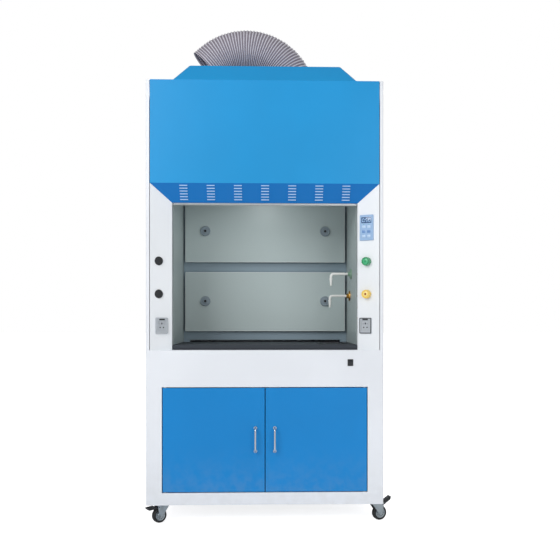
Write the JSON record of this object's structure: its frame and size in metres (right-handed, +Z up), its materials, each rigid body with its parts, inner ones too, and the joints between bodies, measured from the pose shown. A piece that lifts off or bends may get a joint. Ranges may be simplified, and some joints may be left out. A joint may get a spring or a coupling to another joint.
{
  "type": "fume hood",
  "caption": "Ducted laboratory fume hood: wheeled cabinet with doors, work chamber with sink and wall outlets, louvred cover, telescoping motor-lifted sash, blower and flexible exhaust duct.",
  "frame": {"origin": "on the floor, under the middle of the hood body", "axes": "+X to the right of a person at the opening, +Y from the front to the back, +Z up"},
  "size_m": [1.2771, 0.8653, 2.641],
  "materials": {
    "white_paint": "light grey-white powder coat, semi-gloss",
    "column_paint": "light grey-white powder coat, semi-gloss",
    "blue_paint": "mid blue powder coat, semi-gloss",
    "door_blue_paint": "mid blue powder coat, semi-gloss",
    "sky_paint": "bright blue powder coat, semi-gloss",
    "chamber_board": "grey compact laminate, satin",
    "chamber_plate": "blue-grey compact laminate, satin",
    "worktop_board": "black chemical-resistant board, satin",
    "black_plastic": "black moulded plastic",
    "white_plastic": "white moulded plastic",
    "sink_plastic": "black polypropylene",
    "panel_plastic": "pale blue membrane face",
    "socket_plastic": "grey moulded plastic",
    "green_plastic": "green moulded plastic",
    "yellow_plastic": "yellow moulded plastic",
    "wheel_tread": "black tyre",
    "cap_plastic": "grey moulded plastic",
    "zinc_steel": "zinc-plated pressed steel",
    "bright_steel": "polished",
    "shaft_steel": "turned steel",
    "track_aluminium": "extruded, anodised",
    "sash_aluminium": "extruded, anodised",
    "sash_glass": "clear toughened glass",
    "duct_skin": "grey flexible hose over a wire helix",
    "galvanised": "galvanised sheet",
    "motor_paint": "painted grey casting",
    "lamp_housing": "white enamel",
    "brass_fittings": "plain brass and copper pipe"
  },
  "bodies": {
    "cabinet": {"base_frame": "white_paint", "base_carcass": "white_paint", "door_fittings": "zinc_steel", "caster_plates": "zinc_steel", "deck_frame": "white_paint", "switch_housing": "black_plastic", "worktop": "worktop_board", "cup_sink": "sink_plastic", "column_left": "column_paint", "column_right": "column_paint", "power_sockets": "socket_plastic", "column_plugs": "black_plastic", "control_panel": "panel_plastic", "side_panel_left": "white_paint", "side_panel_right": "white_paint", "rear_panel": "white_paint", "roof_panel": "white_paint", "front_cover": "blue_paint", "top_cover": "sky_paint", "liner_left": "chamber_board", "liner_right": "chamber_board", "chamber_ceiling": "chamber_board", "plenum_plate": "chamber_plate", "baffle_boards": "chamber_board", "baffle_standoffs": "cap_plastic", "ceiling_light": "lamp_housing", "sash_tracks": "track_aluminium", "sash_gearmotor": "motor_paint", "upper_sash_cables": "zinc_steel", "lower_sash_cables": "zinc_steel", "blower_housing": "galvanised", "blower_motor": "motor_paint", "exhaust_collar": "galvanised", "duct_clamp": "zinc_steel", "flexible_duct": "duct_skin", "service_lines": "brass_fittings", "wall_outlets": "white_plastic"},
    "door_left": {"door_left": "door_blue_paint", "door_handle_left": "bright_steel"},
    "door_right": {"door_right": "door_blue_paint", "door_handle_right": "bright_steel"},
    "rocker": {"rocker_switch": "black_plastic"},
    "water_knob": {"water_knob": "green_plastic"},
    "gas_knob": {"gas_knob": "yellow_plastic"},
    "sash_lower": {"sash_lower_frame": "sash_aluminium", "sash_lower_glass": "sash_glass"},
    "sash_upper": {"sash_upper_frame": "sash_aluminium", "sash_upper_glass": "sash_glass"},
    "lift_shaft": {"lift_shaft": "shaft_steel"},
    "impeller": {"blower_impeller": "galvanised"},
    "fork_front_left": {"caster_fork_front_left": "zinc_steel"},
    "wheel_front_left": {"caster_wheel_front_left": "wheel_tread"},
    "brake_front_left": {"caster_brake_front_left": "black_plastic"},
    "fork_front_right": {"caster_fork_front_right": "zinc_steel"},
    "wheel_front_right": {"caster_wheel_front_right": "wheel_tread"},
    "brake_front_right": {"caster_brake_front_right": "black_plastic"},
    "fork_rear_left": {"caster_fork_rear_left": "zinc_steel"},
    "wheel_rear_left": {"caster_wheel_rear_left": "wheel_tread"},
    "fork_rear_right": {"caster_fork_rear_right": "zinc_steel"},
    "wheel_rear_right": {"caster_wheel_rear_right": "wheel_tread"}
  },
  "joints": [
    {"name": "door_left_hinge", "type": "hinge", "parent": "cabinet", "child": "door_left", "pos_m": [-0.504, -0.39, 0.4225], "axis": [0, 0, -1], "range_deg": [0, 110]},
    {"name": "door_right_hinge", "type": "hinge", "parent": "cabinet", "child": "door_right", "pos_m": [0.504, -0.39, 0.4225], "axis": [0, 0, 1], "range_deg": [0, 110]},
    {"name": "rocker_tilt", "type": "hinge", "parent": "cabinet", "child": "rocker", "pos_m": [0.432, -0.398, 0.812], "axis": [1, 0, 0], "range_deg": [-9, 0]},
    {"name": "water_knob_turn", "type": "hinge", "parent": "cabinet", "child": "water_knob", "pos_m": [0.5212, -0.3664, 1.327], "axis": [-0.4961, -0.8682, 0], "range_deg": [0, 90]},
    {"name": "gas_knob_turn", "type": "hinge", "parent": "cabinet", "child": "gas_knob", "pos_m": [0.5212, -0.3664, 1.16], "axis": [-0.4961, -0.8682, 0], "range_deg": [0, 90]},
    {"name": "sash_lower_slide", "type": "slide", "parent": "cabinet", "child": "sash_lower", "axis": [0, 0, 1], "range_m": [-0.7177, 0], "deforming": ["lower_sash_cables"]},
    {"name": "sash_upper_slide", "type": "slide", "parent": "cabinet", "child": "sash_upper", "axis": [0, 0, 1], "range_m": [-0.3589, 0], "deforming": ["upper_sash_cables"]},
    {"name": "lift_shaft_turn", "type": "hinge", "parent": "cabinet", "child": "lift_shaft", "pos_m": [0, -0.28375, 2.13], "axis": [1, 0, 0], "range_deg": [0, 1247]},
    {"name": "impeller_spin", "type": "hinge", "parent": "cabinet", "child": "impeller", "pos_m": [0.04, 0.05, 1.95], "axis": [0, 1, 0], "continuous": true},
    {"name": "swivel_front_left", "type": "hinge", "parent": "cabinet", "child": "fork_front_left", "pos_m": [-0.515, -0.345, 0.1], "axis": [0, 0, 1], "continuous": true},
    {"name": "wheel_front_left_spin", "type": "hinge", "parent": "fork_front_left", "child": "wheel_front_left", "pos_m": [-0.53736, -0.36185, 0.0375], "axis": [-0.6018, 0.7986, 0], "continuous": true},
    {"name": "brake_front_left_press", "type": "hinge", "parent": "fork_front_left", "child": "brake_front_left", "pos_m": [-0.54695, -0.36907, 0.081], "axis": [-0.6018, 0.7986, 0], "range_deg": [0, 6]},
    {"name": "swivel_front_right", "type": "hinge", "parent": "cabinet", "child": "fork_front_right", "pos_m": [0.561, -0.345, 0.1], "axis": [0, 0, 1], "range_deg": [-49, 5]},
    {"name": "wheel_front_right_spin", "type": "hinge", "parent": "fork_front_right", "child": "wheel_front_right", "pos_m": [0.58696, -0.33451, 0.0375], "axis": [0.3746, -0.9272, 0], "continuous": true},
    {"name": "brake_front_right_press", "type": "hinge", "parent": "fork_front_right", "child": "brake_front_right", "pos_m": [0.59809, -0.33002, 0.081], "axis": [0.3746, -0.9272, 0], "range_deg": [-35, 0]},
    {"name": "swivel_rear_left", "type": "hinge", "parent": "cabinet", "child": "fork_rear_left", "pos_m": [-0.561, 0.345, 0.1], "axis": [0, 0, 1], "continuous": true},
    {"name": "wheel_rear_left_spin", "type": "hinge", "parent": "fork_rear_left", "child": "wheel_rear_left", "pos_m": [-0.58893, 0.34695, 0.0375], "axis": [0.0698, 0.9976, 0], "continuous": true},
    {"name": "swivel_rear_right", "type": "hinge", "parent": "cabinet", "child": "fork_rear_right", "pos_m": [0.561, 0.345, 0.1], "axis": [0, 0, 1], "continuous": true},
    {"name": "wheel_rear_right_spin", "type": "hinge", "parent": "fork_rear_right", "child": "wheel_rear_right", "pos_m": [0.58839, 0.35082, 0.0375], "axis": [0.2079, -0.9781, 0], "continuous": true}
  ],
  "couplings": [
    {"joint": "sash_upper_slide", "follows": "sash_lower_slide", "ratio": 0.5},
    {"joint": "lift_shaft_turn", "follows": "sash_lower_slide", "rad_per_m": -30.303}
  ]
}
